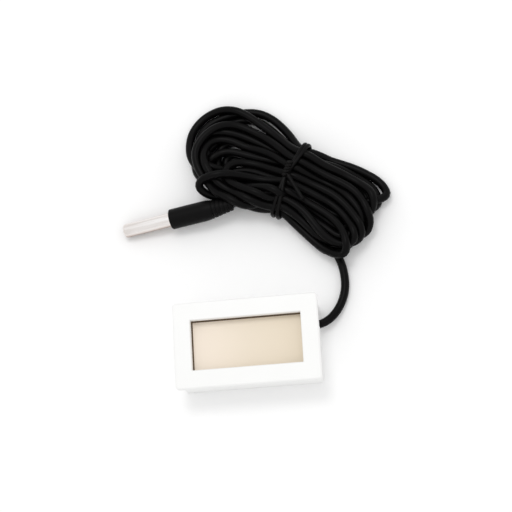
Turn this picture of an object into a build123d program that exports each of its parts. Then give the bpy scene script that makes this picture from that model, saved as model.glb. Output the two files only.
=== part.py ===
# Panel thermometer with a remote probe: a snap-in case with a liquid crystal display,
# two button cells behind a sliding door, and a thin lead that ends in a metal probe.
# The case lies on its back. +X runs along the display, +Y to its top edge, +Z out of its face.
# The origin is on the back, under the middle of the case. All sizes are in millimetres.
import os
from math import cos, pi, radians, sin, tan

from build123d import *

os.makedirs("parts", exist_ok=True)

# Case. Its size follows from what it holds: in length the cells and the room beside them
# for the circuit, in width the window and its rim, in depth the display, board and cells.
window_width = 16.6
body_corner = 0.8
wall = 1.3
end_room = 3.6
circuit_room = 13.6
flange_lip = 1.0
flange_thickness = 2.0
flange_corner = 1.2
flange_rounding = 0.6
window_bevel = 0.25

# Spring clips in the short walls, which hold the case in a panel
clip_width = 7.0
clip_slit = 0.6
clip_root = 5.6
clip_gap = 0.8
clip_reach = 0.9
clip_ramp = 4.8
clip_tooth = 0.3

# Display, from its front film down to the circuit board
display_recess = 2.0
film_thickness = 0.2
film_border = 0.2
glass_thickness = 0.7
glass_overhang = 0.9
glass_end_gap = 0.25
glass_upper_gap = 2.0
glass_lower_gap = 1.2
contact_ledge = 1.8
pocket_clearance = 0.15
pocket_wall = 0.7
pocket_depth = 0.8
ledge_overlap = 0.4
elastomer_height = 1.5
elastomer_gap = 0.15
elastomer_inset = 2.15
foam_width = 1.4
foam_gap = 0.3

# Circuit board and what is on it
board_thickness = 0.8
board_clearance = 0.3
board_corner = 0.5
boss_radius = 1.15
boss_inset = 1.15
pilot_radius = 0.55
pilot_depth = 3.4
screw_length = 3.0
screw_radius = 0.5
screw_head_radius = 1.05
screw_head_height = 0.9
screw_slot = 0.3
screw_notch = 0.7
blob_radius = 4.0
blob_height = 1.3
blob_gap = 1.5
blob_y = -3.5
capacitor_size = (2.0, 1.25, 0.85)
resistor_size = (1.6, 0.8, 0.45)
chip_pitch = 3.4
chip_end_gap = 4.2
chip_edge_gap = 2.1

# Button cells and their contacts
cell_diameter = 11.6
cell_height = 5.4
cell_shoulder = 1.1
cell_cap_height = 0.4
cell_rounding = 0.4
cell_gap = 0.8
cell_clearance = 0.2
contact_room = 1.1
contact_thickness = 0.2
contact_width = 3.0
contact_span = 7.0
contact_touch = 0.05
contact_foot = 1.4

# Rear cover with the cell chamber, and the door in its rails
cover_thickness = 2.2
cover_rounding = 0.5
lip_height = 1.8
lip_thickness = 0.9
lip_clearance = 0.1
bead_radius = 0.25
bead_length = 10.0
bead_height = 1.0
groove_clearance = 0.1
chamber_wall = 0.9
chamber_top_gap = 0.4
door_overlap = 1.2
door_thickness = 1.2
door_recess = 0.2
door_tongue = 0.9
door_tongue_thickness = 0.6
door_side_clearance = 0.2
door_clearance = 0.1
door_margin = 1.4
grip_count = 5
grip_pitch = 1.3
grip_width = 0.6
grip_depth = 0.25
grip_length = 8.0

# Lead
lead_diameter = 2.8
exit_inset = 7.85
exit_z = 3.8
exit_clearance = 0.25
lead_inside = 5.0
lead_shift = 0.25
saddle_inset = 4.5
saddle_thickness = 1.2
saddle_wall = 1.0
saddle_clearance = 0.05
core_radius = 0.35
core_bend = 1.5
core_straight = 1.0
core_reach = 3.4
core_pitch_lead = 1.1
core_pitch_board = 2.6
core_stub = 0.5
solder_radius = 0.75
solder_height = 0.45

# Probe
sheath_diameter = 4.8
sheath_length = 25.5
sheath_wall = 0.3
sheath_rounding = 1.0
sheath_neck = 0.25
sheath_visible = 17.0
sleeve_diameter = 7.0
sleeve_length = 22.0
sleeve_straight = 13.0
sleeve_end_diameter = 4.2
sleeve_rounding = 0.5
sleeve_core_radius = 1.0
ring_count = 5
ring_pitch = 1.4
ring_depth = 0.25
ring_width = 0.55
lead_insertion = 7.0
bead_place = 3.6
bead_size = 0.9
wire_radius = 0.2
wire_pitch = 1.0
potting_gap = 0.5
probe_tip = (-41.8, 44.0, 2.4)
probe_heading = 7.1
probe_tilt = 6.4

# Hank of the lead, tied at its waist
hank_middle = (16.9, 55.6)
hank_heading = -26.3
hank_corner = 0.42
tie_diameter = 1.4
tie_pitch = 1.5
tie_twist_diameter = 2.4
tie_twist_length = 6.0
tie_tail_diameter = 1.3
tie_tail = ((-1.0, 3.0), (8.0, -6.2))

# Across the hank: distance along it from the tie, then the section's middle, width,
# lowest height and thickness
hank_sections = (
    (-41.2, 4.4, 7.0, 0.4, 2.8),
    (-39.0, 4.0, 14.0, 0.1, 4.2),
    (-35.0, 3.6, 21.0, 0.1, 5.8),
    (-28.0, 3.4, 29.5, 0.1, 7.4),
    (-19.0, 3.2, 32.0, 0.2, 8.6),
    (-9.0, 1.5, 28.6, 0.9, 8.5),
    (0.0, 0.0, 26.6, 1.4, 8.0),
    (9.0, -1.2, 28.0, 0.9, 8.5),
    (18.0, -2.9, 31.2, 0.2, 8.6),
    (24.0, -3.4, 31.4, 0.1, 7.4),
    (29.0, -2.6, 26.6, 0.1, 5.8),
    (32.2, -1.0, 17.0, 0.1, 4.2),
    (33.4, -0.8, 9.0, 0.4, 2.8),
)

# Heights that follow from the sizes above, from the back to the front
door_face = door_recess
door_inner = door_recess + door_thickness
rail_top = door_inner + door_clearance
cell_bottom = rail_top
cell_top = cell_bottom + cell_height
board_bottom = cell_top + contact_room
board_top = board_bottom + board_thickness
glass_middle = board_top + elastomer_height
glass_back = glass_middle - glass_thickness
film_back = glass_back - film_thickness
glass_front = glass_middle + glass_thickness
film_front = glass_front + film_thickness
plate_back = film_front + display_recess
case_depth = plate_back + flange_thickness
chamber_top = board_bottom - chamber_top_gap
bead_z = cover_thickness + bead_height

# Outlines that follow from them: the cells' chamber, the case round it, then the display
cell_pitch = cell_diameter + cell_gap
chamber_radius = cell_diameter / 2 + cell_clearance
chamber_length = cell_pitch + 2 * chamber_radius
cavity_length = end_room + chamber_length + 2 * chamber_wall + circuit_room
glass_upper_edge = window_width / 2 + foam_gap + foam_width
cavity_width = 2 * (glass_upper_edge + glass_upper_gap)
cavity_corner = 0.4
body_length = cavity_length + 2 * wall
body_width = cavity_width + 2 * wall
flange_length = body_length + 2 * flange_lip
flange_width = body_width + 2 * flange_lip
chamber_end = cavity_length / 2 - circuit_room
cell_middle = chamber_end - chamber_wall - chamber_length / 2
cell_places = (cell_middle - cell_pitch / 2, cell_middle + cell_pitch / 2)
rail_end = chamber_end - chamber_wall + door_margin
door_width = 2 * (chamber_radius + door_overlap)
door_length = body_length / 2 + rail_end - door_clearance
bead_y = cavity_width / 2 - lip_clearance
screw_x = cavity_length / 2 - boss_inset
screw_y = cavity_width / 2 - boss_inset
glass_length = 2 * (screw_x - boss_radius - glass_end_gap)
glass_lower_edge = glass_lower_gap - cavity_width / 2
front_glass_width = glass_upper_edge - glass_lower_edge
glass_offset = (glass_upper_edge + glass_lower_edge) / 2
rear_glass_width = front_glass_width - contact_ledge
rear_glass_offset = glass_offset + contact_ledge / 2
window_length = glass_length - 2 * glass_overhang
pocket_length = glass_length + 2 * pocket_clearance
pocket_width = front_glass_width + 2 * pocket_clearance
ledge_length = glass_length - 2 * ledge_overlap
ledge_width = window_width + 2 * glass_overhang
film_length = window_length - 2 * film_border
film_width = window_width - 2 * film_border
elastomer_width = contact_ledge - 2 * elastomer_gap
elastomer_length = glass_length - 2 * elastomer_inset
board_length = cavity_length - 2 * board_clearance
board_width = cavity_width - 2 * board_clearance
blob_place = (chamber_end + blob_gap + blob_radius, blob_y)
chip_row = board_width / 2 - chip_edge_gap
chip_middle = board_length / 2 - chip_end_gap - chip_pitch
lead_radius = lead_diameter / 2
exit_radius = lead_radius + exit_clearance
exit_x = body_length / 2
exit_y = body_width / 2 - exit_inset
lead_y = exit_y - lead_shift
saddle_place = exit_x - saddle_inset
core_hole_place = (exit_x - lead_inside - core_reach, lead_y)

# Route of the lead from the case to the hank, and from the probe to the hank
case_run_points = (
    (exit_x - lead_inside, lead_y, exit_z),
    (exit_x - 1.0, lead_y, exit_z),
    (exit_x + 3.0, 6.6, 3.25),
    (exit_x + 6.0, 9.5, 2.2),
    (31.2, 13.2, 1.6),
    (32.5, 17.4, 1.4),
    (32.6, 21.8, 1.4),
    (31.9, 26.0, 1.4),
    (30.4, 29.8, 1.4),
    (28.0, 33.2, 1.4),
)
probe_run_beyond = (
    (7.6, 51.4, 8.3),
    (15.8, 51.4, 7.3),
)


def upright(x, y, z):
    """A sketch plane that faces the front edge of the case: its own Y is the row's Z."""
    return Plane(origin=(x, y, z), x_dir=(1, 0, 0), z_dir=(0, -1, 0))


def bend_radii(points):
    """Largest even bend at each corner of a route: 0.45 of the shorter run each way."""
    corners = [Vector(*p) for p in points]
    radii = []
    for before, at, after in zip(corners, corners[1:], corners[2:]):
        arriving, leaving = at - before, after - at
        half_turn = radians(arriving.get_angle(leaving)) / 2
        radii.append(0.45 * min(arriving.length, leaving.length) / tan(half_turn))
    return radii


# Front housing: bezel, walls and spring clips, moulded in one
with BuildPart() as front_housing:
    with BuildSketch(Plane.XY.offset(plate_back)):
        RectangleRounded(flange_length, flange_width, flange_corner)
    extrude(amount=flange_thickness)
    fillet(front_housing.faces().sort_by(Axis.Z)[-1].edges(), flange_rounding)
    with BuildSketch(Plane.XY.offset(cover_thickness)):
        RectangleRounded(body_length, body_width, body_corner)
        RectangleRounded(cavity_length, cavity_width, cavity_corner, mode=Mode.SUBTRACT)
    extrude(amount=plate_back - cover_thickness)

    # Frame that locates the display glass, with a ledge that the glass rests against
    with BuildSketch(Plane.XY.offset(glass_front - pocket_depth)):
        with Locations((0, glass_offset)):
            Rectangle(pocket_length + 2 * pocket_wall, pocket_width + 2 * pocket_wall)
            Rectangle(pocket_length, pocket_width, mode=Mode.SUBTRACT)
    extrude(amount=plate_back - glass_front + pocket_depth)
    with BuildSketch(Plane.XY.offset(glass_front)):
        with Locations((0, glass_offset)):
            Rectangle(pocket_length, pocket_width)
        Rectangle(ledge_length, ledge_width, mode=Mode.SUBTRACT)
    extrude(amount=plate_back - glass_front)

    # Window
    with BuildSketch(Plane.XY.offset(plate_back)):
        Rectangle(window_length, window_width)
    extrude(amount=flange_thickness, mode=Mode.SUBTRACT)
    chamfer(front_housing.faces().sort_by(Axis.Z)[-1].inner_wires()[0].edges(), window_bevel)

    # Bosses for the board's screws
    with BuildSketch(Plane.XY.offset(board_top)):
        with GridLocations(2 * screw_x, 2 * screw_y, 2, 2):
            Circle(boss_radius)
    extrude(amount=plate_back - board_top)
    with BuildSketch(Plane.XY.offset(board_top)):
        with GridLocations(2 * screw_x, 2 * screw_y, 2, 2):
            Circle(pilot_radius)
    extrude(amount=pilot_depth, mode=Mode.SUBTRACT)

    # Openings round the clips, then the clips in them
    with BuildSketch(Plane.YZ.offset(body_length / 2)):
        with Locations((0, (clip_root + plate_back) / 2)):
            Rectangle(clip_width + 2 * clip_slit, plate_back - clip_root)
    extrude(amount=-wall, mode=Mode.SUBTRACT)
    with BuildSketch(Plane.YZ.offset(-body_length / 2)):
        with Locations((0, (clip_root + plate_back) / 2)):
            Rectangle(clip_width + 2 * clip_slit, plate_back - clip_root)
    extrude(amount=wall, mode=Mode.SUBTRACT)
    clip_top = plate_back - clip_gap
    clip_tip = body_length / 2 + clip_reach
    crest = clip_root + clip_ramp
    with BuildSketch(Plane.XZ):
        with BuildLine():
            Polyline(
                (body_length / 2 - wall, clip_root),
                (body_length / 2, clip_root),
                (clip_tip, crest),
                (clip_tip, crest + clip_tooth),
                (clip_tip - clip_tooth, crest + 1.5 * clip_tooth),
                (clip_tip - clip_tooth, crest + 2.5 * clip_tooth),
                (clip_tip - 2 * clip_tooth, crest + 3 * clip_tooth),
                (clip_tip - 2 * clip_tooth, crest + 4 * clip_tooth),
                (body_length / 2, clip_top),
                (body_length / 2 - wall, clip_top),
                close=True,
            )
        make_face()
        mirror(about=Plane.YZ)
    extrude(amount=clip_width / 2, both=True)

    # Notch for the lead, and grooves for the rear cover's beads
    with BuildSketch(Plane.YZ.offset(body_length / 2)):
        with Locations((exit_y, exit_z)):
            Circle(exit_radius)
        with Locations((exit_y, cover_thickness)):
            Rectangle(2 * exit_radius, exit_z - cover_thickness, align=(Align.CENTER, Align.MIN))
    extrude(amount=-wall, mode=Mode.SUBTRACT)
    with Locations((0, bead_y, bead_z), (0, -bead_y, bead_z)):
        Cylinder(
            bead_radius + groove_clearance,
            bead_length + 2 * groove_clearance,
            rotation=(0, 90, 0),
            mode=Mode.SUBTRACT,
        )
front_housing.part.label = "front_housing"
export_step(front_housing.part, "parts/front_housing.step")

# Rear cover: plate with door rails, lip with beads, and the chamber that holds the cells
with BuildPart() as rear_cover:
    with BuildSketch():
        RectangleRounded(body_length, body_width, body_corner)
    extrude(amount=cover_thickness)
    fillet(rear_cover.faces().sort_by(Axis.Z)[0].edges(), cover_rounding)
    with BuildSketch(Plane.XY.offset(cover_thickness)):
        RectangleRounded(
            cavity_length - 2 * lip_clearance, cavity_width - 2 * lip_clearance, cavity_corner
        )
        Rectangle(
            cavity_length - 2 * lip_clearance - 2 * lip_thickness,
            cavity_width - 2 * lip_clearance - 2 * lip_thickness,
            mode=Mode.SUBTRACT,
        )
    extrude(amount=lip_height)
    with BuildSketch(Plane.XY.offset(cover_thickness)):
        with Locations((cell_middle, 0)):
            SlotOverall(chamber_length + 2 * chamber_wall, 2 * chamber_radius + 2 * chamber_wall)
    extrude(amount=chamber_top - cover_thickness)
    with BuildSketch():
        with Locations((cell_middle, 0)):
            SlotOverall(chamber_length, 2 * chamber_radius)
    extrude(amount=chamber_top, mode=Mode.SUBTRACT)

    # Slots in the chamber's wall for the side contacts
    with BuildSketch(Plane.XY.offset(cover_thickness + 2 * contact_thickness)):
        for x in cell_places:
            with Locations((x, chamber_radius - contact_thickness)):
                Rectangle(
                    contact_width + 2 * contact_thickness,
                    chamber_wall + 2 * contact_thickness,
                    align=(Align.CENTER, Align.MIN),
                )
    extrude(amount=chamber_top - cover_thickness, mode=Mode.SUBTRACT)

    # Rails of the door: a narrow channel on the outside, a wider one behind it
    channel_middle = (rail_end - body_length / 2) / 2
    channel_length = rail_end + body_length / 2
    with BuildSketch():
        with Locations((channel_middle, 0)):
            Rectangle(channel_length, door_width + 2 * door_side_clearance)
    extrude(amount=rail_top, mode=Mode.SUBTRACT)
    tongue_bottom = door_inner - door_tongue_thickness
    with BuildSketch(Plane.XY.offset(tongue_bottom - door_clearance)):
        with Locations((channel_middle, 0)):
            Rectangle(channel_length, door_width + 2 * door_tongue + 2 * door_side_clearance)
    extrude(amount=rail_top - tongue_bottom + door_clearance, mode=Mode.SUBTRACT)

    # Beads that click into the housing's grooves
    with Locations((0, bead_y, bead_z), (0, -bead_y, bead_z)):
        Cylinder(bead_radius, bead_length, rotation=(0, 90, 0))

    # Saddle under the lead, and the gap in the lip where the lead passes
    with BuildSketch(Plane.YZ.offset(saddle_place)):
        with Locations((case_run_points[0][1], cover_thickness)):
            Rectangle(
                lead_diameter + 2 * saddle_wall,
                exit_z - cover_thickness + lead_radius / 2,
                align=(Align.CENTER, Align.MIN),
            )
    extrude(amount=saddle_thickness)
    with BuildSketch(Plane.YZ.offset(saddle_place)):
        with Locations(case_run_points[0][1:]):
            Circle(lead_radius + saddle_clearance)
        with Locations(case_run_points[0][1:]):
            Rectangle(lead_diameter + 2 * saddle_clearance, lead_diameter,
                      align=(Align.CENTER, Align.MIN))
    extrude(amount=saddle_thickness, mode=Mode.SUBTRACT)
    with BuildSketch(Plane.XY.offset(cover_thickness)):
        with Locations((cavity_length / 2, exit_y)):
            Rectangle(4 * lip_thickness, 2 * exit_radius)
    extrude(amount=lip_height, mode=Mode.SUBTRACT)
rear_cover.part.label = "rear_cover"
export_step(rear_cover.part, "parts/rear_cover.step")

# Door of the cell chamber: it slides to the left, out of its rails
with BuildPart() as battery_door:
    door_middle = door_length / 2 - body_length / 2
    with BuildSketch(Plane.XY.offset(door_face)):
        with Locations((door_middle, 0)):
            Rectangle(door_length, door_width)
    extrude(amount=door_thickness)
    with BuildSketch(Plane.XY.offset(tongue_bottom)):
        with Locations((door_middle, 0)):
            Rectangle(door_length, door_width + 2 * door_tongue)
    extrude(amount=door_tongue_thickness)
    outer_left = battery_door.faces().sort_by(Axis.Z)[0].edges().sort_by(Axis.X)[0]
    fillet(outer_left, cover_rounding - door_recess)
    grip_middle = grip_pitch * (grip_count + 1) / 2 + cover_rounding - body_length / 2
    with BuildSketch(Plane.XY.offset(door_face)):
        with Locations((grip_middle, 0)):
            with GridLocations(grip_pitch, 0, grip_count, 1):
                SlotOverall(grip_length, grip_width, rotation=90)
    extrude(amount=grip_depth, mode=Mode.SUBTRACT)
battery_door.part.label = "battery_door"
export_step(battery_door.part, "parts/battery_door.step")

# Display: two plates of glass between two films. The front plate reaches past the rear one
# along the lower edge, where its contacts face the board.
with BuildPart() as front_film:
    with BuildSketch(Plane.XY.offset(glass_front)):
        Rectangle(film_length, film_width)
    extrude(amount=film_thickness)
front_film.part.label = "front_film"
export_step(front_film.part, "parts/front_film.step")

with BuildPart() as front_glass:
    with BuildSketch(Plane.XY.offset(glass_middle)):
        with Locations((0, glass_offset)):
            Rectangle(glass_length, front_glass_width)
    extrude(amount=glass_thickness)
front_glass.part.label = "front_glass"
export_step(front_glass.part, "parts/front_glass.step")

with BuildPart() as rear_glass:
    with BuildSketch(Plane.XY.offset(glass_back)):
        with Locations((0, rear_glass_offset)):
            Rectangle(glass_length, rear_glass_width)
    extrude(amount=glass_thickness)
rear_glass.part.label = "rear_glass"
export_step(rear_glass.part, "parts/rear_glass.step")

with BuildPart() as rear_reflector:
    with BuildSketch(Plane.XY.offset(film_back)):
        Rectangle(film_length, film_width)
    extrude(amount=film_thickness)
rear_reflector.part.label = "rear_reflector"
export_step(rear_reflector.part, "parts/rear_reflector.step")

# Elastomer strip between the glass contacts and the board, and foam under the other edge
with BuildPart() as elastomer_strip:
    strip_y = glass_lower_edge + contact_ledge / 2
    with BuildSketch(Plane.XY.offset(board_top)):
        with Locations((0, strip_y)):
            Rectangle(elastomer_length, elastomer_width)
    extrude(amount=elastomer_height)
elastomer_strip.part.label = "elastomer_strip"
export_step(elastomer_strip.part, "parts/elastomer_strip.step")

with BuildPart() as support_foam:
    foam_y = glass_upper_edge - foam_width / 2
    with BuildSketch(Plane.XY.offset(board_top)):
        with Locations((0, foam_y)):
            Rectangle(elastomer_length, foam_width)
    extrude(amount=glass_back - board_top)
support_foam.part.label = "support_foam"
export_step(support_foam.part, "parts/support_foam.step")

# Circuit board, with its corners cut out round the screws
core_holes = [
    (core_hole_place[0], core_hole_place[1] + side * core_pitch_board / 2) for side in (-1, 1)
]
with BuildPart() as circuit_board:
    with BuildSketch(Plane.XY.offset(board_bottom)):
        RectangleRounded(board_length, board_width, board_corner)
        with GridLocations(2 * screw_x, 2 * screw_y, 2, 2):
            Rectangle(4 * screw_notch, 4 * screw_notch, mode=Mode.SUBTRACT)
        with GridLocations(2 * (screw_x - screw_notch), 2 * (screw_y - screw_notch), 2, 2):
            Rectangle(2 * screw_notch, 2 * screw_notch)
        with GridLocations(2 * screw_x, 2 * screw_y, 2, 2):
            Circle(screw_notch, mode=Mode.SUBTRACT)
        with Locations(*core_holes):
            Circle(core_radius + saddle_clearance, mode=Mode.SUBTRACT)
    extrude(amount=board_thickness)
circuit_board.part.label = "circuit_board"
export_step(circuit_board.part, "parts/circuit_board.step")

# Screws, up through the board's corners into the bosses
with BuildPart() as board_screws:
    with BuildSketch(Plane.XY.offset(board_bottom)):
        with GridLocations(2 * screw_x, 2 * screw_y, 2, 2):
            Circle(screw_head_radius)
    extrude(amount=-screw_head_height)
    fillet(board_screws.faces().filter_by(Axis.Z).group_by(Axis.Z)[0].edges(), screw_slot)
    with BuildSketch(Plane.XY.offset(board_bottom)):
        with GridLocations(2 * screw_x, 2 * screw_y, 2, 2):
            Circle(screw_radius)
    extrude(amount=board_thickness + screw_length)
    with BuildSketch(Plane.XY.offset(board_bottom - screw_head_height)):
        with GridLocations(2 * screw_x, 2 * screw_y, 2, 2):
            Rectangle(screw_head_radius, screw_slot)
            Rectangle(screw_slot, screw_head_radius)
    extrude(amount=screw_head_height / 2, mode=Mode.SUBTRACT)
board_screws.part.label = "board_screws"
export_step(board_screws.part, "parts/board_screws.step")

# Resin over the measuring chip, a low dome under the board
with BuildPart() as chip_resin:
    with BuildSketch(upright(*blob_place, board_bottom)):
        with BuildLine():
            Line((0, 0), (0, -blob_height))
            SagittaArc((0, -blob_height), (blob_radius, 0), -blob_height / 3)
            Line((blob_radius, 0), (0, 0))
        make_face()
    revolve(axis=Axis((*blob_place, board_bottom), (0, 0, 1)))
chip_resin.part.label = "chip_resin"
export_step(chip_resin.part, "parts/chip_resin.step")

# Capacitors and resistors, in rows under the board
with BuildPart() as capacitors:
    with Locations((chip_middle, chip_row, board_bottom)):
        with GridLocations(chip_pitch, 0, 3, 1):
            Box(*capacitor_size, align=(Align.CENTER, Align.CENTER, Align.MAX))
capacitors.part.label = "capacitors"
export_step(capacitors.part, "parts/capacitors.step")

with BuildPart() as resistors:
    with Locations((chip_middle, -chip_row, board_bottom)):
        with GridLocations(chip_pitch, 0, 3, 1):
            Box(*resistor_size, align=(Align.CENTER, Align.CENTER, Align.MAX))
resistors.part.label = "resistors"
export_step(resistors.part, "parts/resistors.step")

# Cells with their contacts. Each can faces the door, and each cap faces the board.
cell_radius = cell_diameter / 2
cap_radius = cell_radius - cell_shoulder
for side, x in zip(("left", "right"), cell_places):
    with BuildPart() as cell:
        with BuildSketch(upright(x, 0, cell_bottom)):
            with BuildLine():
                FilletPolyline(
                    (0, 0),
                    (cell_radius, 0),
                    (cell_radius, cell_height - cell_cap_height),
                    (cap_radius, cell_height - cell_cap_height),
                    radius=(cell_rounding, cell_rounding),
                )
                Polyline(
                    (cap_radius, cell_height - cell_cap_height),
                    (cap_radius, cell_height),
                    (0, cell_height),
                    (0, 0),
                )
            make_face()
        revolve(axis=Axis((x, 0, 0), (0, 0, 1)))
    cell.part.label = f"cell_{side}"
    export_step(cell.part, f"parts/cell_{side}.step")

    # Bowed strip between the cap and the board
    with BuildPart() as cap_contact:
        with BuildSketch(upright(x, 0, 0)):
            low, high = cell_top + contact_touch, board_bottom - contact_thickness
            half = contact_span / 2
            with BuildLine():
                ThreePointArc((-half, high), (0, low), (half, high))
                Line((half, high), (half, board_bottom))
                ThreePointArc((half, board_bottom), (0, low + contact_thickness),
                              (-half, board_bottom))
                Line((-half, board_bottom), (-half, high))
            make_face()
        extrude(amount=contact_width / 2, both=True)
    cap_contact.part.label = f"cap_contact_{side}"
    export_step(cap_contact.part, f"parts/cap_contact_{side}.step")

    # Strip that hangs from the board and presses on the side of the can
    with BuildPart() as side_contact:
        with BuildSketch(Plane.YZ.offset(x)):
            near = cell_radius + contact_touch
            bend = near + 2 * contact_thickness
            low, middle = cell_bottom + cell_height / 4, cell_bottom + cell_height / 2
            with BuildLine():
                Polyline(
                    (bend + contact_foot, board_bottom),
                    (bend, board_bottom),
                    (near, middle),
                    (bend, low),
                    (bend + contact_thickness, low),
                    (near + contact_thickness, middle),
                    (bend + contact_thickness, board_bottom - contact_thickness),
                    (bend + contact_foot, board_bottom - contact_thickness),
                    close=True,
                )
            make_face()
        extrude(amount=contact_width / 2, both=True)
    side_contact.part.label = f"side_contact_{side}"
    export_step(side_contact.part, f"parts/side_contact_{side}.step")

# Two cores of the lead, from its jacket's end up through the board, and their solder
lead_start = case_run_points[0]
with BuildPart() as lead_cores:
    for side, hole in zip((-1, 1), core_holes):
        with BuildLine() as core_path:
            FilletPolyline(
                (lead_start[0], lead_start[1] + side * core_pitch_lead / 2, lead_start[2]),
                (
                    lead_start[0] - core_straight,
                    lead_start[1] + side * core_pitch_lead / 2,
                    lead_start[2],
                ),
                (hole[0], hole[1], lead_start[2]),
                (hole[0], hole[1], board_top + core_stub),
                radius=core_bend,
            )
        with BuildSketch(Plane(origin=core_path.line @ 0, z_dir=core_path.line % 0)):
            Circle(core_radius)
        sweep(path=core_path.line)
lead_cores.part.label = "lead_cores"
export_step(lead_cores.part, "parts/lead_cores.step")

with BuildPart() as solder_joints:
    for hole in core_holes:
        with BuildSketch(upright(*hole, board_top)):
            with BuildLine():
                Polyline(
                    (core_radius, 0), (solder_radius, 0), (core_radius, solder_height), close=True
                )
            make_face()
        revolve(axis=Axis((*hole, board_top), (0, 0, 1)))
solder_joints.part.label = "solder_joints"
export_step(solder_joints.part, "parts/solder_joints.step")

# Lead from the case to the hank
with BuildPart() as lead_case_run:
    with BuildLine() as case_route:
        FilletPolyline(*case_run_points, radius=bend_radii(case_run_points))
    with BuildSketch(Plane(origin=case_route.line @ 0, z_dir=case_route.line % 0)):
        Circle(lead_radius)
    sweep(path=case_route.line)
lead_case_run.part.label = "lead_case_run"
export_step(lead_case_run.part, "parts/lead_case_run.step")

# Hank of the lead: the outer shape of its turns, drawn in at the tie
hank_along = Vector(cos(radians(hank_heading)), sin(radians(hank_heading)), 0)
hank_across = Vector(-hank_along.Y, hank_along.X, 0)
with BuildPart() as lead_hank:
    for along, middle, width, bottom, thickness in hank_sections:
        station = Vector(*hank_middle, 0) + hank_along * along
        with BuildSketch(Plane(origin=station, x_dir=hank_across, z_dir=hank_along)):
            with Locations((middle, bottom + thickness / 2)):
                RectangleRounded(width, thickness, hank_corner * thickness)
    loft()
lead_hank.part.label = "lead_hank"
export_step(lead_hank.part, "parts/lead_hank.step")

# Tie: two turns of wire round the waist, twisted together on top, with one end left long
waist_width, waist_bottom, waist_thickness = next(
    (width, bottom, thick) for along, _, width, bottom, thick in hank_sections if along == 0
)
tie_radius = tie_diameter / 2
waist_corner = hank_corner * waist_thickness + tie_radius
waist_top = waist_bottom + waist_thickness
with BuildPart() as hank_tie:
    for side in (-1, 1):
        station = Vector(*hank_middle, 0) + hank_along * (side * tie_pitch / 2)
        half_width = (waist_width + tie_diameter) / 2
        with BuildLine(Plane(origin=station, x_dir=hank_across, z_dir=hank_along)) as turn:
            FilletPolyline(
                (half_width, waist_bottom - tie_radius),
                (half_width, waist_top + tie_radius),
                (-half_width, waist_top + tie_radius),
                (-half_width, waist_bottom - tie_radius),
                radius=waist_corner,
                close=True,
            )
        with BuildSketch(Plane(origin=turn.line @ 0, z_dir=turn.line % 0)):
            Circle(tie_radius)
        sweep(path=turn.line)
    tail_height = waist_top + tie_tail_diameter / 2
    tail_ends = [
        Vector(*hank_middle, tail_height) + hank_along * along + hank_across * across
        for along, across in tie_tail
    ]
    tail_way = tail_ends[1] - tail_ends[0]
    with BuildSketch(Plane(origin=tail_ends[0], z_dir=tail_way)):
        Circle(tie_tail_diameter / 2)
    extrude(amount=tail_way.length)
    twist_start = (
        Vector(*hank_middle, waist_top + tie_twist_diameter / 2)
        + hank_across * (tie_tail[0][1] - tie_twist_length / 2)
    )
    with BuildSketch(Plane(origin=twist_start, z_dir=hank_across)):
        Circle(tie_twist_diameter / 2)
    extrude(amount=tie_twist_length)
hank_tie.part.label = "hank_tie"
export_step(hank_tie.part, "parts/hank_tie.step")

# Probe: everything on it is drawn along its own axis, from the tip of the sheath
heading, tilt = radians(probe_heading), radians(probe_tilt)
probe_way = Vector(cos(heading) * cos(tilt), sin(heading) * cos(tilt), sin(tilt))
probe_side = Vector(-sin(heading), cos(heading), 0)
probe_plane = Plane(origin=probe_tip, x_dir=probe_way, z_dir=probe_way.cross(probe_side))
probe_axis = Axis(probe_tip, probe_way)
sheath_radius = sheath_diameter / 2
bore_radius = sheath_radius - sheath_wall
neck_radius = sheath_radius - sheath_neck
neck_bore = neck_radius - sheath_wall
bore_end = sheath_visible - sheath_wall
sleeve_end = sheath_visible + sleeve_length
jacket_end = sleeve_end - lead_insertion


def probe_station(distance, sideways=0.0):
    """A point on the probe's axis, that far from the tip."""
    return Vector(*probe_tip) + probe_way * distance + probe_side * sideways


# Sheath: a drawn tube with a closed tip, and a neck that the sleeve is moulded on
with BuildPart() as probe_sheath:
    with BuildSketch(probe_plane):
        with BuildLine():
            FilletPolyline(
                (0, 0), (0, sheath_radius), (sheath_visible, sheath_radius), radius=sheath_rounding
            )
            Polyline(
                (sheath_visible, sheath_radius),
                (sheath_visible, neck_radius),
                (sheath_length, neck_radius),
                (sheath_length, neck_bore),
                (bore_end, neck_bore),
                (bore_end, bore_radius),
            )
            FilletPolyline(
                (bore_end, bore_radius), (sheath_wall, bore_radius), (sheath_wall, 0),
                radius=sheath_rounding - sheath_wall,
            )
            Line((sheath_wall, 0), (0, 0))
        make_face()
    revolve(axis=probe_axis)
probe_sheath.part.label = "probe_sheath"
export_step(probe_sheath.part, "parts/probe_sheath.step")

with BuildPart() as thermistor:
    with BuildSketch(probe_plane):
        with BuildLine():
            Line((bead_place - bead_size, 0), (bead_place + bead_size, 0))
            ThreePointArc(
                (bead_place + bead_size, 0), (bead_place, bead_size), (bead_place - bead_size, 0)
            )
        make_face()
    revolve(axis=probe_axis)
thermistor.part.label = "thermistor"
export_step(thermistor.part, "parts/thermistor.step")

with BuildPart() as thermistor_wires:
    for side in (-1, 1):
        wire_start = probe_station(bead_place + 0.9 * bead_size, side * wire_pitch / 2)
        with BuildSketch(Plane(origin=wire_start, z_dir=probe_way)):
            Circle(wire_radius)
        extrude(amount=jacket_end - bead_place - 0.9 * bead_size)
thermistor_wires.part.label = "thermistor_wires"
export_step(thermistor_wires.part, "parts/thermistor_wires.step")

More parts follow.
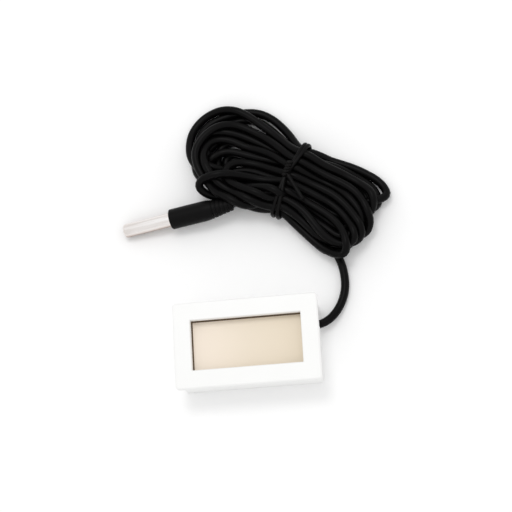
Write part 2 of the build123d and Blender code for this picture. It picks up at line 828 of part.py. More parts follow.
with BuildPart() as probe_potting:
    potting_end = sheath_length - potting_gap
    with BuildSketch(probe_plane):
        with BuildLine():
            FilletPolyline(
                (sheath_wall, 0), (sheath_wall, bore_radius), (bore_end, bore_radius),
                radius=sheath_rounding - sheath_wall,
            )
            Polyline(
                (bore_end, bore_radius),
                (bore_end, neck_bore),
                (potting_end, neck_bore),
                (potting_end, 0),
                (sheath_wall, 0),
            )
        make_face()
    revolve(axis=probe_axis)
    add(thermistor.part, mode=Mode.SUBTRACT)
    add(thermistor_wires.part, mode=Mode.SUBTRACT)
probe_potting.part.label = "probe_potting"
export_step(probe_potting.part, "parts/probe_potting.step")

# Moulded sleeve: straight over the sheath, then tapered and ringed where the lead leaves
with BuildPart() as probe_sleeve:
    taper_start = sheath_visible + sleeve_straight
    taper_rate = (sleeve_diameter - sleeve_end_diameter) / 2 / (sleeve_end - taper_start)
    with BuildSketch(probe_plane):
        with BuildLine():
            FilletPolyline(
                (sheath_visible, neck_radius),
                (sheath_visible, sleeve_diameter / 2),
                (taper_start, sleeve_diameter / 2),
                (sleeve_end, sleeve_end_diameter / 2),
                radius=(sleeve_rounding, 2 * sleeve_diameter),
            )
            Polyline(
                (sleeve_end, sleeve_end_diameter / 2),
                (sleeve_end, lead_radius),
                (jacket_end, lead_radius),
                (jacket_end, sleeve_core_radius),
                (sheath_length, sleeve_core_radius),
                (sheath_length, neck_radius),
                (sheath_visible, neck_radius),
            )
        make_face()
        for ring in range(ring_count):
            place = sleeve_end - ring_pitch * (ring + 0.8)
            surface = sleeve_end_diameter / 2 + taper_rate * (sleeve_end - place)
            with Locations((place, surface)):
                Rectangle(ring_width, 2 * ring_depth, mode=Mode.SUBTRACT)
    revolve(axis=probe_axis)
probe_sleeve.part.label = "probe_sleeve"
export_step(probe_sleeve.part, "parts/probe_sleeve.step")

# Lead from the sleeve to the tie
probe_run_points = (
    tuple(probe_station(jacket_end)),
    tuple(probe_station(sleeve_end + lead_diameter / 2)),
    *probe_run_beyond,
)
with BuildPart() as lead_probe_run:
    with BuildLine() as probe_route:
        FilletPolyline(*probe_run_points, radius=bend_radii(probe_run_points))
    with BuildSketch(Plane(origin=probe_route.line @ 0, z_dir=probe_route.line % 0)):
        Circle(lead_radius)
    sweep(path=probe_route.line)
lead_probe_run.part.label = "lead_probe_run"
export_step(lead_probe_run.part, "parts/lead_probe_run.step")

# Each tube's bends, and its volume against its section times its length
lead_section = pi * lead_radius**2
for name, points, route, run in (
    ("case run", case_run_points, case_route, lead_case_run),
    ("probe run", probe_run_points, probe_route, lead_probe_run),
):
    length = route.wires()[0].length
    print(name, "bend radii", [round(radius, 1) for radius in bend_radii(points)])
    print(name, "length", round(length, 1), "volume", round(run.part.volume, 1),
          "section times length", round(lead_section * length, 1))
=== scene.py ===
# Looks of a panel thermometer: its white case with a liquid crystal display, and a tied lead with a probe.
# Everything is in metres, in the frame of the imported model: X along the display, Y up it, Z out of it.
from math import cos, pi, radians, sin

import bmesh
import bpy
import numpy as np
from mathutils import Matrix, Vector


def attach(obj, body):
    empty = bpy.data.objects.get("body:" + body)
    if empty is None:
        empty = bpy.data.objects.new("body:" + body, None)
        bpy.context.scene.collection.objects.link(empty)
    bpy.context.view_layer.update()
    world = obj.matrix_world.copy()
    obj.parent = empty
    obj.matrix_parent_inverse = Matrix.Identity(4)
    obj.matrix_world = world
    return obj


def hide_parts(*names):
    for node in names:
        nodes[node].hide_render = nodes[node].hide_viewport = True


mm = 0.001

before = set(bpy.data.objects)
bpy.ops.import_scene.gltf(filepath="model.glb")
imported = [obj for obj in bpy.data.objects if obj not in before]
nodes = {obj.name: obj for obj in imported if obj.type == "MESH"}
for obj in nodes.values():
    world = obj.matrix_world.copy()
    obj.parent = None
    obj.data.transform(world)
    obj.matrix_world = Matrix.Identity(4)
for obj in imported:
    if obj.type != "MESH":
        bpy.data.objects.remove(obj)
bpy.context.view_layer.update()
print("frame loaded:", len(nodes), "nodes")

# Camera, where the photograph was taken from
view = {
    "place": (0.067034, -0.089943, 0.490326),
    "towards": (-0.125952, 0.238939, -0.962833),
    "up": (0.088336, 0.969408, 0.229010),
    "lens": 105.47,
    "sensor": 36.0,
}


def makeCamera():
    camera = bpy.data.objects.new("camera", bpy.data.cameras.new("camera"))
    bpy.context.scene.collection.objects.link(camera)
    back = -Vector(view["towards"]).normalized()
    right = Vector(view["up"]).cross(back).normalized()
    up = back.cross(right)
    camera.matrix_world = Matrix.Translation(view["place"]) @ Matrix((right, up, back)).transposed().to_4x4()
    camera.data.lens = view["lens"]
    camera.data.sensor_width = view["sensor"]
    camera.data.clip_start = 0.01
    camera.data.clip_end = 20
    bpy.context.scene.camera = camera


makeCamera()
print("camera placed")

# Lead: one length of soft twin lead, from inside the case, through the tied hank, to the probe
lead = {
    "diameter": 2.8,
    "exit": (23.5, 5.35, 3.7),
    "caseRun": [
        (18.0, 5.2, 3.8), (22.0, 5.2, 3.8), (26.0, 6.6, 3.25), (29.0, 9.5, 2.2), (31.2, 13.2, 1.6),
        (32.5, 17.4, 1.4), (32.6, 21.8, 1.4), (31.9, 26.0, 1.4), (30.4, 29.8, 1.4), (28.0, 33.2, 1.4),
    ],
    "probeRun": [(15.8, 51.4, 7.3), (7.6, 51.4, 8.3)],
    "jacketEnd": 32.0,
}

# Probe: metal sheath and moulded sleeve, given along their axis from the tip
probe = {
    "tip": (-41.8, 44.0, 2.4),
    "heading": 7.1,
    "tilt": 6.4,
    "sheathEnd": 17.0,
    "sheathRadius": 2.4,
    "taperStart": 30.0,
    "sleeveEnd": 39.0,
    "sleeveRadius": 3.5,
    "sleeveEndRadius": 2.1,
}
heading, tilt = radians(probe["heading"]), radians(probe["tilt"])
probeWay = np.array([cos(heading) * cos(tilt), sin(heading) * cos(tilt), sin(tilt)])


def probeStation(distance):
    return np.array(probe["tip"]) + probeWay * distance


# Hank: u runs along it from the tie to the right, v across it to the top, z up
hank = {
    "middle": (16.9, 55.6),
    "heading": -26.3,
    "layers": (2.8, 5.2, 7.65),
    "held": 2.0,
    "step": 3.5,
    "climb": 2.9,
    "rounds": 500,
    "lowHalves": {22: (36.0, 1.6, 0.62), 23: (1.6, 38.0, 0.42)},
    "pull": 0.05,
    "seenLevel": 5.2,
    "slant": (0.227, -0.164),
}
low, middle, high = hank["layers"]

# Where each pass crosses the tie, in the order of winding: v, z. Even passes run left, odd ones right.
passes = [
    (1.4, low), (-1.4, low), (4.2, low), (-4.2, low), (7.0, low), (-7.0, low), (9.8, low), (-9.8, low),
    (5.6, middle), (2.8, middle), (8.4, middle), (0.0, middle), (11.2, middle), (-2.8, middle),
    (9.8, high), (-5.6, middle), (7.0, high), (-8.4, middle), (4.2, high), (-9.8, high),
    (1.4, high), (-7.0, high), (-1.4, high), (-11.2, middle), (-4.2, high),
]
# Each turn on either side of the tie, from one pass to the next: u and v of its bends
leftTurns = [
    [(-9, 1.4), (-17, 2), (-23.5, -0.5), (-24, -6), (-18, -9), (-10, -5)],
    [(-10, 6.5), (-19, 7.5), (-25.5, 4.5), (-27.8, -1.5), (-25, -7.5), (-17, -9.5), (-9, -7)],
    [(-10, 9.5), (-20, 11.5), (-28.5, 8.5), (-32, 2.5), (-30, -5), (-22, -9.5), (-11, -9.3)],
    [(-10, 13.2), (-20, 16), (-28, 12.2), (-33, 4.6), (-31.6, -3.5), (-24, -10), (-11, -10.8)],
    [(-9, 4.6), (-17, 2.9), (-25, 1.1), (-29.8, -3.4), (-28.6, -8.2), (-23, -10.2), (-16, -8), (-9, -2)],
    [(-8, 7.2), (-15.3, 7.6), (-25.7, 8.6), (-32.2, 6), (-33.8, -0.5), (-30, -6.3), (-22, -5.5),
     (-14, -2.2), (-7, -0.6)],
    [(-7, 15.2), (-12.9, 18.2), (-19.5, 19), (-27.5, 16), (-34, 10.6), (-37, 4.4), (-35.2, -2.5), (-29.5, -7.5),
     (-20, -9.2), (-10, -5.5)],
    [(-8, 12), (-17, 15), (-26.5, 16.4), (-35.2, 13.4), (-39, 6.4), (-37, -1.8), (-31, -7.8), (-22, -10.2),
     (-11, -8)],
    [(-8, 8.7), (-14.9, 10.5), (-25.2, 12), (-31.8, 8.6), (-35.2, 1.8), (-33, -4.5), (-27, -8.8), (-17, -10.8),
     (-9, -9.6)],
    [(-8, 4.9), (-17.1, 4.7), (-25.6, 5.4), (-31.8, 3.4), (-33.8, -1.9), (-30.6, -6.6), (-24, -9.8), (-14, -10.8),
     (-7, -10.4)],
    [(-7, 0.9), (-13.2, 0.6), (-19.5, -1.2), (-23, -5.2), (-20.5, -9.4), (-14, -10), (-8, -8.6)],
    [(-8, -3.1), (-13.9, -4.2), (-22.5, -7.1), (-28.5, -9.8), (-29.4, -13), (-24.8, -14.4), (-18, -12.4),
     (-12.3, -11.2), (-6, -10.9)],
]
rightTurns = [
    [(7, -5), (12, -10), (17, -12), (21.3, -9.5), (20, -4), (14, 1.5), (8, 3.5)],
    [(8, -7.5), (13, -11.5), (19, -13), (23.8, -10), (24, -3), (17, 4), (9, 6.2)],
    [(9, -10), (18, -12), (26, -9.5), (29, -1.5), (26, 5.2), (18, 8), (9, 9)],
    [(8, -11), (17, -13.5), (24, -13.2), (28, -8.5), (28, -0.5), (22.5, 4.6), (12, 6.3)],
    [(10, 0.5), (21, -1.5), (28.2, -1.2), (31.2, 2.6), (28.3, 6.6), (19, 7.6), (9, 8.2)],
    [(10, -1.5), (20, -1), (28, 1), (32.8, 5), (29.4, 9.4), (24, 10.2), (17.6, 10), (8.9, 10.5)],
    [(9, -4), (18, -6), (26, -5), (29, 0.4), (27.2, 5.8), (18.5, 8), (9, 8.8)],
    [(9, -8), (17, -11), (24, -12), (29.2, -9), (29.6, -4), (24.8, 1.6), (16.4, 4.8), (8, 6.2)],
    [(9, -10), (17, -12), (23.5, -12.4), (28.4, -9), (28.4, -3.8), (25, -1), (16.6, 2.6), (8, 3.9)],
    [(9, -10), (17, -13), (23.5, -13.6), (28.4, -11), (28.6, -7.5), (25.9, -3.6), (17.7, 0.3), (8, 1.2)],
    [(8, -8.5), (13, -11), (17.6, -13.4), (24, -13.8), (28.4, -11), (26.6, -6.3), (18.7, -2.1), (9, -1)],
    [(5, -12), (11.2, -14.2), (20.4, -17.4), (26.2, -17.6), (28.4, -14.8), (26, -11), (20.9, -8.1),
     (11.1, -5.9)],
]
underTurns = [(15.5, -11.6, 1.4), (11, -7.6, 1.4), (6.5, -2.6, 1.6)]

hankAngle = radians(hank["heading"])
hankAlong = np.array([cos(hankAngle), sin(hankAngle)])
hankAcross = np.array([-hankAlong[1], hankAlong[0]])


def toHank(points):
    away = np.asarray(points, float)[:, :2] - hank["middle"]
    return np.column_stack([away @ hankAlong, away @ hankAcross, np.asarray(points, float)[:, 2]])


def fromHank(points):
    points = np.asarray(points, float)
    flat = np.array(hank["middle"]) + points[:, :1] * hankAlong + points[:, 1:2] * hankAcross
    return np.column_stack([flat, points[:, 2]])


def ease(t):
    return t * t * (3 - 2 * t)


def smoothThrough(points, count=10):
    # a curve through every point, with the first and last only giving its direction
    p = np.asarray(points, float)
    t = np.linspace(0, 1, count, endpoint=False)[:, None]
    rows = []
    for a, b, c, d in zip(p, p[1:], p[2:], p[3:]):
        rows.append(0.5 * (2 * b + (c - a) * t + (2 * a - 5 * b + 4 * c - d) * t**2
                           + (3 * b - a - 3 * c + d) * t**3))
    return np.vstack(rows)


def wind():
    # the whole hank as wound: every turn lies above the one before, to be let down by settle
    rows = []
    turns = [turn for pair in zip(leftTurns, rightTurns) for turn in pair]
    for number, turn in enumerate(turns):
        start, end = passes[number], passes[number + 1]
        edge = hank["held"] if number % 2 else -hank["held"]
        plan = smoothThrough([(-edge, start[0]), (edge, start[0]), *turn, (edge, end[0]), (-edge, end[0])])
        along = np.linspace(0, 1, len(plan))
        level = 1.4 + hank["climb"] * (number + 1) / 2
        first, last, change = hank["lowHalves"].get(number, (level, level, 0.5))
        height = first + (last - first) * ease(np.clip((along - change) * 5 + 0.5, 0, 1))
        base = start[1] + (end[1] - start[1]) * along
        rise = ease(np.clip((abs(plan[:, 0]) - hank["held"]) / 9, 0, 1))
        rows.append(np.column_stack([plan, base + (height - base) * rise]))
    rows.append([(-hank["held"], *passes[-1])])
    path = np.vstack([toHank(lead["caseRun"][-1:]), underTurns, *rows])
    run = np.r_[0, np.cumsum(np.linalg.norm(np.diff(path[:, :2], axis=0), axis=1))]
    even = np.linspace(0, run[-1], int(run[-1] / hank["step"]) + 1)
    return np.column_stack([np.interp(even, run, path[:, k]) for k in range(3)])


def spread(hit, count, push, total, weight):
    # shares the push on each bead between the points that carry it
    onMiddle = hit >= count
    first = np.where(onMiddle, hit - count, hit)
    second = np.where(onMiddle, first + 1, first)
    for ends in (first, second):
        np.add.at(total, ends, push)
        np.add.at(weight, ends, 0.5)


def settle(points, held, fixedBeads, fixedRadii):
    # lets the turns down on the floor and on each other, as a chain of beads of the lead's diameter
    width = lead["diameter"]
    free = (~held)[:, None].astype(float)
    x, count = points.copy(), len(points)
    plan = points[:, :2].copy()
    spacing = np.maximum(np.linalg.norm(np.diff(plan, axis=0), axis=1), 0.5)
    bends = np.column_stack([(plan[:-2] + plan[2:]) / 2 - plan[1:-1], np.zeros(count - 2)])
    order = np.r_[np.arange(count), np.arange(count - 1) + 0.5]
    for step in range(hank["rounds"]):
        x[:, 2] -= 0.12 * free[:, 0]
        seen = plan + (x[:, 2:] - hank["seenLevel"]) * hank["slant"]
        x[:, :2] += hank["pull"] * (seen - x[:, :2]) * free
        x[1:-1] += 0.3 * ((x[:-2] + x[2:]) / 2 - x[1:-1] - bends) * free[1:-1]
        beads = np.vstack([x, (x[:-1] + x[1:]) / 2])
        if step % 8 == 0:   # pairs that may meet in the next few steps
            gap = np.abs(beads[:, None] - beads[None]).max(axis=2)
            close = (gap < width + 2.2) & (order[:, None] - order[None] > 2.6)
            one, two = np.nonzero(close)
        for _ in range(3):
            for start in (0, 1):
                a = np.arange(start, count - 1, 2)
                away = x[a + 1] - x[a]
                size = np.linalg.norm(away, axis=1)
                pull = away * ((size - spacing[a]) / np.maximum(size, 1e-6))[:, None]
                share = np.maximum(free[a] + free[a + 1], 1)
                x[a] += 0.8 * pull * free[a] / share
                x[a + 1] -= 0.8 * pull * free[a + 1] / share
            beads = np.vstack([x, (x[:-1] + x[1:]) / 2])
            away = beads[one] - beads[two]
            size = np.maximum(np.linalg.norm(away, axis=1), 1e-6)
            touch = size < width
            push = 0.5 * ((width - size) / size)[touch, None] * away[touch]
            total, weight = np.zeros_like(x), np.zeros(count)
            spread(one[touch], count, push, total, weight)
            spread(two[touch], count, -push, total, weight)
            x += total / np.maximum(weight, 1)[:, None] * free
            away = x[:, None] - fixedBeads[None]
            size = np.maximum(np.linalg.norm(away, axis=2), 1e-6)
            depth = np.maximum(width / 2 + fixedRadii[None] - size, 0)
            x += 0.7 * (away * (depth / size)[:, :, None]).sum(axis=1) * free
            x[:, 2] = np.where(held, x[:, 2], np.maximum(x[:, 2], width / 2))
    return x


def probeBeads():
    # beads along the sleeve and the lead in front of it, which the turns must not enter
    stations = np.arange(probe["sheathEnd"], probe["sleeveEnd"] + 0.1, 1.4)
    radii = np.interp(stations, [probe["taperStart"], probe["sleeveEnd"]],
                      [probe["sleeveRadius"], probe["sleeveEndRadius"]])
    beads = [probeStation(s) for s in stations]
    corners = [probeStation(probe["sleeveEnd"]), *map(np.array, reversed(lead["probeRun"]))]
    for a, b in zip(corners, corners[1:]):
        beads += [a + (b - a) * t for t in (0.17, 0.33, 0.5, 0.67, 0.83)]
    radii = np.r_[radii, np.full(10, lead["diameter"] / 2)]
    return toHank(beads), radii


def nurbs(name, points, thickness, cyclic=False, resolution=3, sides=4):
    # a round cord on one spline with these control points, in metres
    curve = bpy.data.curves.new(name, "CURVE")
    curve.dimensions = "3D"
    curve.bevel_depth = thickness / 2
    curve.bevel_resolution = sides
    curve.resolution_u = resolution
    curve.use_fill_caps = not cyclic
    spline = curve.splines.new("NURBS")
    spline.points.add(len(points) - 1)
    for point, place in zip(spline.points, points):
        point.co = (*place, 1)
    spline.order_u = 3
    spline.use_endpoint_u = not cyclic
    spline.use_cyclic_u = cyclic
    spline.use_smooth = True
    piece = bpy.data.objects.new(name, curve)
    bpy.context.scene.collection.objects.link(piece)
    return piece


def makeLead():
    points = wind()
    held = abs(points[:, 0]) <= hank["held"] + 0.01
    held[:1] = True
    held[-1:] = True
    points = settle(points, held, *probeBeads())
    route = [
        *lead["caseRun"][:-1],
        *fromHank(points),
        *lead["probeRun"],
        probeStation(probe["sleeveEnd"] + lead["diameter"] / 2),
        probeStation(lead["jacketEnd"]),
    ]
    return nurbs("lead", [Vector(p) * mm for p in route], lead["diameter"] * mm)


leadPiece = makeLead()
print("lead wound")


# Materials. Each reads Object coordinates, so that a pattern keeps its real size.
def newMaterial(name):
    material = bpy.data.materials.new(name)
    material.use_nodes = True
    tree = material.node_tree
    shader = tree.nodes["Principled BSDF"]
    place = tree.nodes.new("ShaderNodeTexCoord").outputs["Object"]
    return material, tree, shader, place


def noise(tree, place, scale, detail=3.0, roughness=0.5):
    node = tree.nodes.new("ShaderNodeTexNoise")
    node.inputs["Scale"].default_value = scale
    node.inputs["Detail"].default_value = detail
    node.inputs["Roughness"].default_value = roughness
    tree.links.new(place, node.inputs["Vector"])
    return node.outputs["Fac"]


def ramp(tree, value, stops):
    node = tree.nodes.new("ShaderNodeValToRGB")
    while len(node.color_ramp.elements) < len(stops):
        node.color_ramp.elements.new(0.5)
    for element, (position, colour) in zip(node.color_ramp.elements, stops):
        element.position = position
        element.color = colour if len(colour) == 4 else (*colour, 1)
    tree.links.new(value, node.inputs["Fac"])
    return node.outputs["Color"]


def span(tree, value, lowest, highest):
    node = tree.nodes.new("ShaderNodeMapRange")
    node.inputs["To Min"].default_value = lowest
    node.inputs["To Max"].default_value = highest
    tree.links.new(value, node.inputs["Value"])
    return node.outputs["Result"]


def bump(tree, shader, height, strength, distance):
    node = tree.nodes.new("ShaderNodeBump")
    node.inputs["Strength"].default_value = strength
    node.inputs["Distance"].default_value = distance
    tree.links.new(height, node.inputs["Height"])
    tree.links.new(node.outputs["Normal"], shader.inputs["Normal"])


def shaded(colour, share):
    return tuple(c * share for c in colour)


def finish(name, colour, roughness, grain, grainDepth, metallic=0.0, variation=0.06, spread=0.08,
           specular=0.5, coat=0.0):
    # a finish with slight unevenness in its colour and gloss, and a grain of its own size
    material, tree, shader, place = newMaterial(name)
    shader.inputs["Metallic"].default_value = metallic
    shader.inputs["Specular IOR Level"].default_value = specular
    shader.inputs["Coat Weight"].default_value = coat
    broad = noise(tree, place, 90, 4)
    tree.links.new(ramp(tree, broad, [(0.3, shaded(colour, 1 - variation)), (0.7, colour)]),
                   shader.inputs["Base Color"])
    fine = noise(tree, place, grain, 2)
    tree.links.new(span(tree, fine, roughness - spread / 2, roughness + spread / 2), shader.inputs["Roughness"])
    bump(tree, shader, fine, 0.35, grainDepth)
    return material


caseFinish = finish("satin white plastic", (0.90, 0.90, 0.89), 0.42, 2600, 0.00001, variation=0.015)
leadFinish = finish("soft black jacket", (0.0022, 0.002, 0.0021), 0.36, 1500, 0.000006, variation=0.25,
                    specular=0.085)
sleeveFinish = finish("moulded black rubber", (0.0032, 0.003, 0.0031), 0.45, 2200, 0.00001, variation=0.2,
                      specular=0.08)
tieFinish = finish("coated tie wire", (0.0026, 0.0022, 0.0022), 0.34, 1800, 0.000008, variation=0.2,
                   specular=0.1)
boardFinish = finish("green board", (0.02, 0.16, 0.07), 0.35, 900, 0.00001)
resinFinish = finish("black resin", (0.01, 0.01, 0.011), 0.2, 500, 0.00003)
ceramicFinish = finish("brown ceramic", (0.38, 0.27, 0.17), 0.5, 1500, 0.00001)
darkCeramicFinish = finish("dark ceramic", (0.03, 0.03, 0.035), 0.45, 1500, 0.00001)
foamFinish = finish("dark foam", (0.02, 0.02, 0.022), 0.9, 3500, 0.0001, variation=0.3)
strawFinish = finish("rosy elastomer", (0.42, 0.24, 0.22), 0.5, 1200, 0.00002)
screwFinish = finish("zinc plated steel", (0.6, 0.6, 0.63), 0.3, 1200, 0.00001, metallic=1.0)
cellFinish = finish("nickel plated can", (0.68, 0.68, 0.67), 0.24, 900, 0.00001, metallic=1.0)
springFinish = finish("gilt spring strip", (0.78, 0.62, 0.32), 0.28, 900, 0.00001, metallic=1.0)
solderFinish = finish("bright solder", (0.75, 0.76, 0.78), 0.2, 700, 0.00002, metallic=1.0)
coreFinish = finish("grey core sleeving", (0.35, 0.35, 0.36), 0.45, 1200, 0.00001)
copperFinish = finish("tinned copper", (0.75, 0.55, 0.42), 0.3, 900, 0.00001, metallic=1.0)
reflectorFinish = finish("silvery reflector", (0.6, 0.59, 0.56), 0.35, 1500, 0.00001, metallic=0.6)


def makeProbeMetal():
    # drawn and polished tube: long fine scratches, with a painted warm shade and painted dark reflection on its
    # lower half, going over to a painted bright top
    material, tree, shader, place = newMaterial("polished probe metal")
    shader.inputs["Metallic"].default_value = 1.0
    turn = tree.nodes.new("ShaderNodeMapping")
    turn.vector_type = "TEXTURE"
    turn.inputs["Location"].default_value = Vector(probe["tip"]) * mm
    turn.inputs["Rotation"].default_value = (0, -tilt, heading)
    turn.inputs["Scale"].default_value = (14, 1, 1)
    tree.links.new(place, turn.inputs["Vector"])
    streaks = noise(tree, turn.outputs["Vector"], 2400, 3)
    parts = tree.nodes.new("ShaderNodeSeparateXYZ")
    tree.links.new(turn.outputs["Vector"], parts.inputs["Vector"])
    level = tree.nodes.new("ShaderNodeMapRange")
    level.inputs["From Min"].default_value = -probe["sheathRadius"] * mm
    level.inputs["From Max"].default_value = probe["sheathRadius"] * mm
    level.inputs["To Max"].default_value = 0.6
    tree.links.new(parts.outputs["Z"], level.inputs["Value"])
    # painted shade level: the height across the tube, made uneven by noise
    paintedShadeLevel = tree.nodes.new("ShaderNodeMath")
    paintedShadeLevel.operation = "MULTIPLY_ADD"
    tree.links.new(noise(tree, turn.outputs["Vector"], 620, 4), paintedShadeLevel.inputs[0])
    paintedShadeLevel.inputs[1].default_value = 0.4
    tree.links.new(level.outputs["Result"], paintedShadeLevel.inputs[2])
    # painted shade and reflection: dark warm brown low on the tube, pale near white on top
    paintedUndersideShade = ramp(tree, paintedShadeLevel.outputs[0],
                   [(0.46, (0.30, 0.22, 0.17)), (0.58, (0.60, 0.52, 0.48)), (0.70, (0.80, 0.75, 0.72)),
                    (0.80, (0.95, 0.93, 0.92))])
    tree.links.new(paintedUndersideShade, shader.inputs["Base Color"])
    tree.links.new(span(tree, streaks, 0.10, 0.26), shader.inputs["Roughness"])
    bump(tree, shader, streaks, 0.3, 0.00001)
    return material


def makeDisplayFilm():
    # front polariser over a blank display: plain beige, with a painted reflection that makes it a little darker
    # to the right
    material, tree, shader, place = newMaterial("beige display film")
    parts = tree.nodes.new("ShaderNodeSeparateXYZ")
    tree.links.new(place, parts.inputs["Vector"])
    across = tree.nodes.new("ShaderNodeMapRange")
    across.inputs["From Min"].default_value = -0.018
    across.inputs["From Max"].default_value = 0.018
    tree.links.new(parts.outputs["X"], across.inputs["Value"])
    # painted reflection: lightest at the left end of the film, darker towards the right
    colour = ramp(tree, across.outputs["Result"],
                  [(0.0, (0.88, 0.775, 0.66)), (0.5, (0.785, 0.685, 0.55)), (1.0, (0.74, 0.638, 0.49))])
    tree.links.new(colour, shader.inputs["Base Color"])
    fine = noise(tree, place, 3000, 2)
    tree.links.new(span(tree, fine, 0.30, 0.38), shader.inputs["Roughness"])
    bump(tree, shader, fine, 0.2, 0.000004)
    return material


def beyond(tree, value, limit):
    # 1 where the value is further from the middle than the limit
    size = tree.nodes.new("ShaderNodeMath")
    size.operation = "ABSOLUTE"
    tree.links.new(value, size.inputs[0])
    past = tree.nodes.new("ShaderNodeMath")
    past.operation = "GREATER_THAN"
    past.inputs[1].default_value = limit
    tree.links.new(size.outputs[0], past.inputs[0])
    return past.outputs[0]


def makeGlass():
    # clear display glass, with the brown seal that joins its plates outside the film; the seal fills the whole
    # border, and its dark brown is partly painted shade for the shaded gap under the window's edge
    material, tree, shader, place = newMaterial("display glass")
    shader.inputs["IOR"].default_value = 1.5
    parts = tree.nodes.new("ShaderNodeSeparateXYZ")
    tree.links.new(place, parts.inputs["Vector"])
    filmVertices = [vertex.co for vertex in nodes["front_film"].data.vertices]
    sealAndPaintedShade = tree.nodes.new("ShaderNodeMath")
    sealAndPaintedShade.operation = "MAXIMUM"
    for number, axis in enumerate("XY"):
        edge = max(vertex[number] for vertex in filmVertices)
        tree.links.new(beyond(tree, parts.outputs[axis], edge), sealAndPaintedShade.inputs[number])
    fine = noise(tree, place, 200, 2)
    mixed = tree.nodes.new("ShaderNodeMix")
    mixed.data_type = "RGBA"
    tree.links.new(sealAndPaintedShade.outputs[0], mixed.inputs["Factor"])
    tree.links.new(ramp(tree, fine, [(0.3, (0.72, 0.82, 0.78)), (0.7, (0.78, 0.88, 0.84))]), mixed.inputs["A"])
    # seal colour: dark brown, partly the seal's own colour and partly painted shade for the gap under the
    # window's edge
    tree.links.new(ramp(tree, fine, [(0.3, (0.13, 0.09, 0.06)), (0.7, (0.17, 0.12, 0.08))]), mixed.inputs["B"])
    tree.links.new(mixed.outputs["Result"], shader.inputs["Base Color"])
    tree.links.new(span(tree, sealAndPaintedShade.outputs[0], 1.0, 0.0), shader.inputs["Transmission Weight"])
    tree.links.new(span(tree, fine, 0.02, 0.05), shader.inputs["Roughness"])
    return material


probeMetal = makeProbeMetal()
finishes = {
    caseFinish: ["front_housing", "rear_cover", "battery_door"],
    makeDisplayFilm(): ["front_film"],
    makeGlass(): ["front_glass", "rear_glass"],
    reflectorFinish: ["rear_reflector"],
    strawFinish: ["elastomer_strip"],
    foamFinish: ["support_foam"],
    boardFinish: ["circuit_board"],
    resinFinish: ["chip_resin", "probe_potting"],
    ceramicFinish: ["capacitors"],
    darkCeramicFinish: ["resistors", "thermistor"],
    screwFinish: ["board_screws"],
    cellFinish: ["cell_left", "cell_right"],
    springFinish: ["cap_contact_left", "cap_contact_right", "side_contact_left", "side_contact_right"],
    solderFinish: ["solder_joints"],
    coreFinish: ["lead_cores"],
    copperFinish: ["thermistor_wires"],
    sleeveFinish: ["probe_sleeve"],
    probeMetal: ["probe_sheath"],
    leadFinish: ["lead_case_run", "lead_hank", "lead_probe_run"],
    tieFinish: ["hank_tie"],
}
for material, names in finishes.items():
    for name in names:
        nodes[name].data.materials.clear()
        nodes[name].data.materials.append(material)

leadPiece.data.materials.append(leadFinish)
print("finishes given")

# Tie: a coated wire wound twice round the waist and twisted on top, with one end left long
tie = {
    "diameter": 1.4,
    "halfWidth": 13.4,
    "middle": 5.25,
    "halfHeight": 4.5,
    "fullness": 3.2,
    "corners": 28,
    "edges": ((-1.0, 0.2), (0.9, 1.4)),
    "twist": (-1.6, 2.2),
    "twistLevel": 10.5,
    "twistRadius": 0.55,
    "twistLength": 5.2,
    "twistTurns": 2.4,
    "tail": ((-0.6, 0.4, 11.0), (3.2, -2.6, 10.6), (7.6, -5.7, 10.2)),
}


def tieRing(lowerEdge, upperEdge):
    # control points of one turn: u at the lower edge and at the upper one, both drawn in at the twist
    points = []
    for k in range(tie["corners"]):
        angle = 2 * pi * k / tie["corners"]
        c, s = cos(angle), sin(angle)
        power = 2 / tie["fullness"]
        v = tie["halfWidth"] * abs(c) ** power * (1 if c > 0 else -1)
        z = tie["middle"] + tie["halfHeight"] * abs(s) ** power * (1 if s > 0 else -1)
        edge = upperEdge if v > 0 else lowerEdge
        away = min(abs(v) / tie["halfWidth"], 1) if s > 0 else 1
        u = tie["twist"][0] + (edge - tie["twist"][0]) * away ** 0.8
        points.append((u, v, z))
    return points


def makeTie():
    pieces = []
    for number, edges in enumerate(tie["edges"]):
        points = [Vector(p) * mm for p in fromHank(tieRing(*edges))]
        pieces.append(nurbs(f"tieTurn{number}", points, tie["diameter"] * mm, cyclic=True, resolution=4))
    tail = [Vector(p) * mm for p in fromHank(tie["tail"])]
    pieces.append(nurbs("tieTail", tail, tie["diameter"] * 0.93 * mm, resolution=6))
    for strand in (0, 1):
        points = []
        for share in np.linspace(0, 1, 25):
            angle = 2 * pi * tie["twistTurns"] * share + pi * strand
            points.append((tie["twist"][0] + tie["twistRadius"] * cos(angle),
                           tie["twist"][1] + tie["twistLength"] * (0.5 - share),
                           tie["twistLevel"] + tie["twistRadius"] * sin(angle)))
        points = [Vector(p) * mm for p in fromHank(points)]
        pieces.append(nurbs(f"tieTwist{strand}", points, tie["diameter"] * 0.9 * mm, resolution=3))
    depsgraph = bpy.context.evaluated_depsgraph_get()
    mesh = bmesh.new()
    for piece in pieces:
        part = bpy.data.meshes.new_from_object(piece.evaluated_get(depsgraph))
        mesh.from_mesh(part)
        bpy.data.meshes.remove(part)
        bpy.data.objects.remove(piece)
    bmesh.ops.remove_doubles(mesh, verts=mesh.verts, dist=0.000001)
    bmesh.ops.recalc_face_normals(mesh, faces=mesh.faces)
    data = bpy.data.meshes.new("tie")
    mesh.to_mesh(data)
    mesh.free()
    data.shade_smooth()
    data.materials.append(tieFinish)
    piece = bpy.data.objects.new("tie", data)
    bpy.context.scene.collection.objects.link(piece)
    return piece


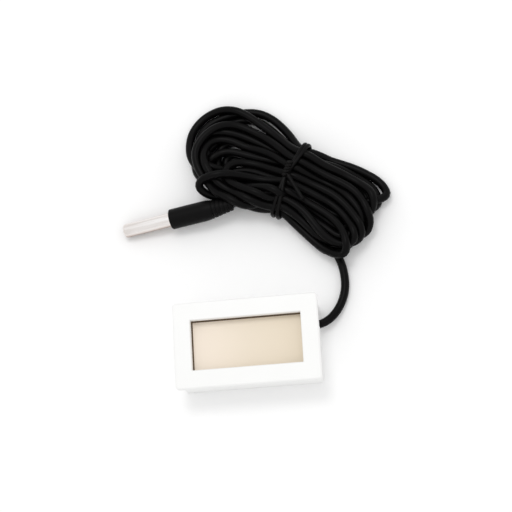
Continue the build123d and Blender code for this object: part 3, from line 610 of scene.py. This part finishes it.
tiePiece = makeTie()
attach(leadPiece, "case")
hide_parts("lead_case_run", "lead_hank", "lead_probe_run")
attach(tiePiece, "case")
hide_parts("hank_tie")
print("tie made")

# Stage: pale floor, white to the camera, and soft light from above and behind
stage = {
    "floorSize": 6.0,
    "floorColour": (0.98, 0.98, 0.98),
    "world": 0.90,
    "keyPlace": (-0.08, 0.40, 1.1),
    "keyTarget": (0, 0.04, 0),
    "keySize": 0.4,
    "keyPower": 2.4,
}


def makeFloor():
    mesh = bmesh.new()
    bmesh.ops.create_grid(mesh, x_segments=1, y_segments=1, size=stage["floorSize"] / 2)
    data = bpy.data.meshes.new("floor")
    mesh.to_mesh(data)
    mesh.free()
    floor = bpy.data.objects.new("floor", data)
    bpy.context.scene.collection.objects.link(floor)
    material, tree, shader, place = newMaterial("pale floor")
    shader.inputs["Roughness"].default_value = 0.9
    shader.inputs["Specular IOR Level"].default_value = 0.1
    shader.inputs["Base Color"].default_value = (*stage["floorColour"], 1)
    data.materials.append(material)


def makeWorld():
    world = bpy.data.worlds.new("studio")
    bpy.context.scene.world = world
    world.use_nodes = True
    tree = world.node_tree
    background = tree.nodes["Background"]
    rays = tree.nodes.new("ShaderNodeLightPath")
    strength = tree.nodes.new("ShaderNodeMapRange")
    strength.inputs["To Min"].default_value = stage["world"]
    strength.inputs["To Max"].default_value = 1.0
    tree.links.new(rays.outputs["Is Camera Ray"], strength.inputs["Value"])
    tree.links.new(strength.outputs["Result"], background.inputs["Strength"])
    background.inputs["Color"].default_value = (1, 1, 1, 1)


def makeKeyLamp():
    lamp = bpy.data.objects.new("key", bpy.data.lights.new("key", "AREA"))
    lamp.data.shape = "DISK"
    lamp.data.size = stage["keySize"]
    lamp.data.energy = stage["keyPower"]
    lamp.location = stage["keyPlace"]
    way = Vector(stage["keyTarget"]) - Vector(stage["keyPlace"])
    lamp.rotation_euler = way.to_track_quat("-Z", "Y").to_euler()
    bpy.context.scene.collection.objects.link(lamp)


makeFloor()
makeWorld()
makeKeyLamp()
bpy.context.scene.view_settings.view_transform = "Standard"
print("stage lit")
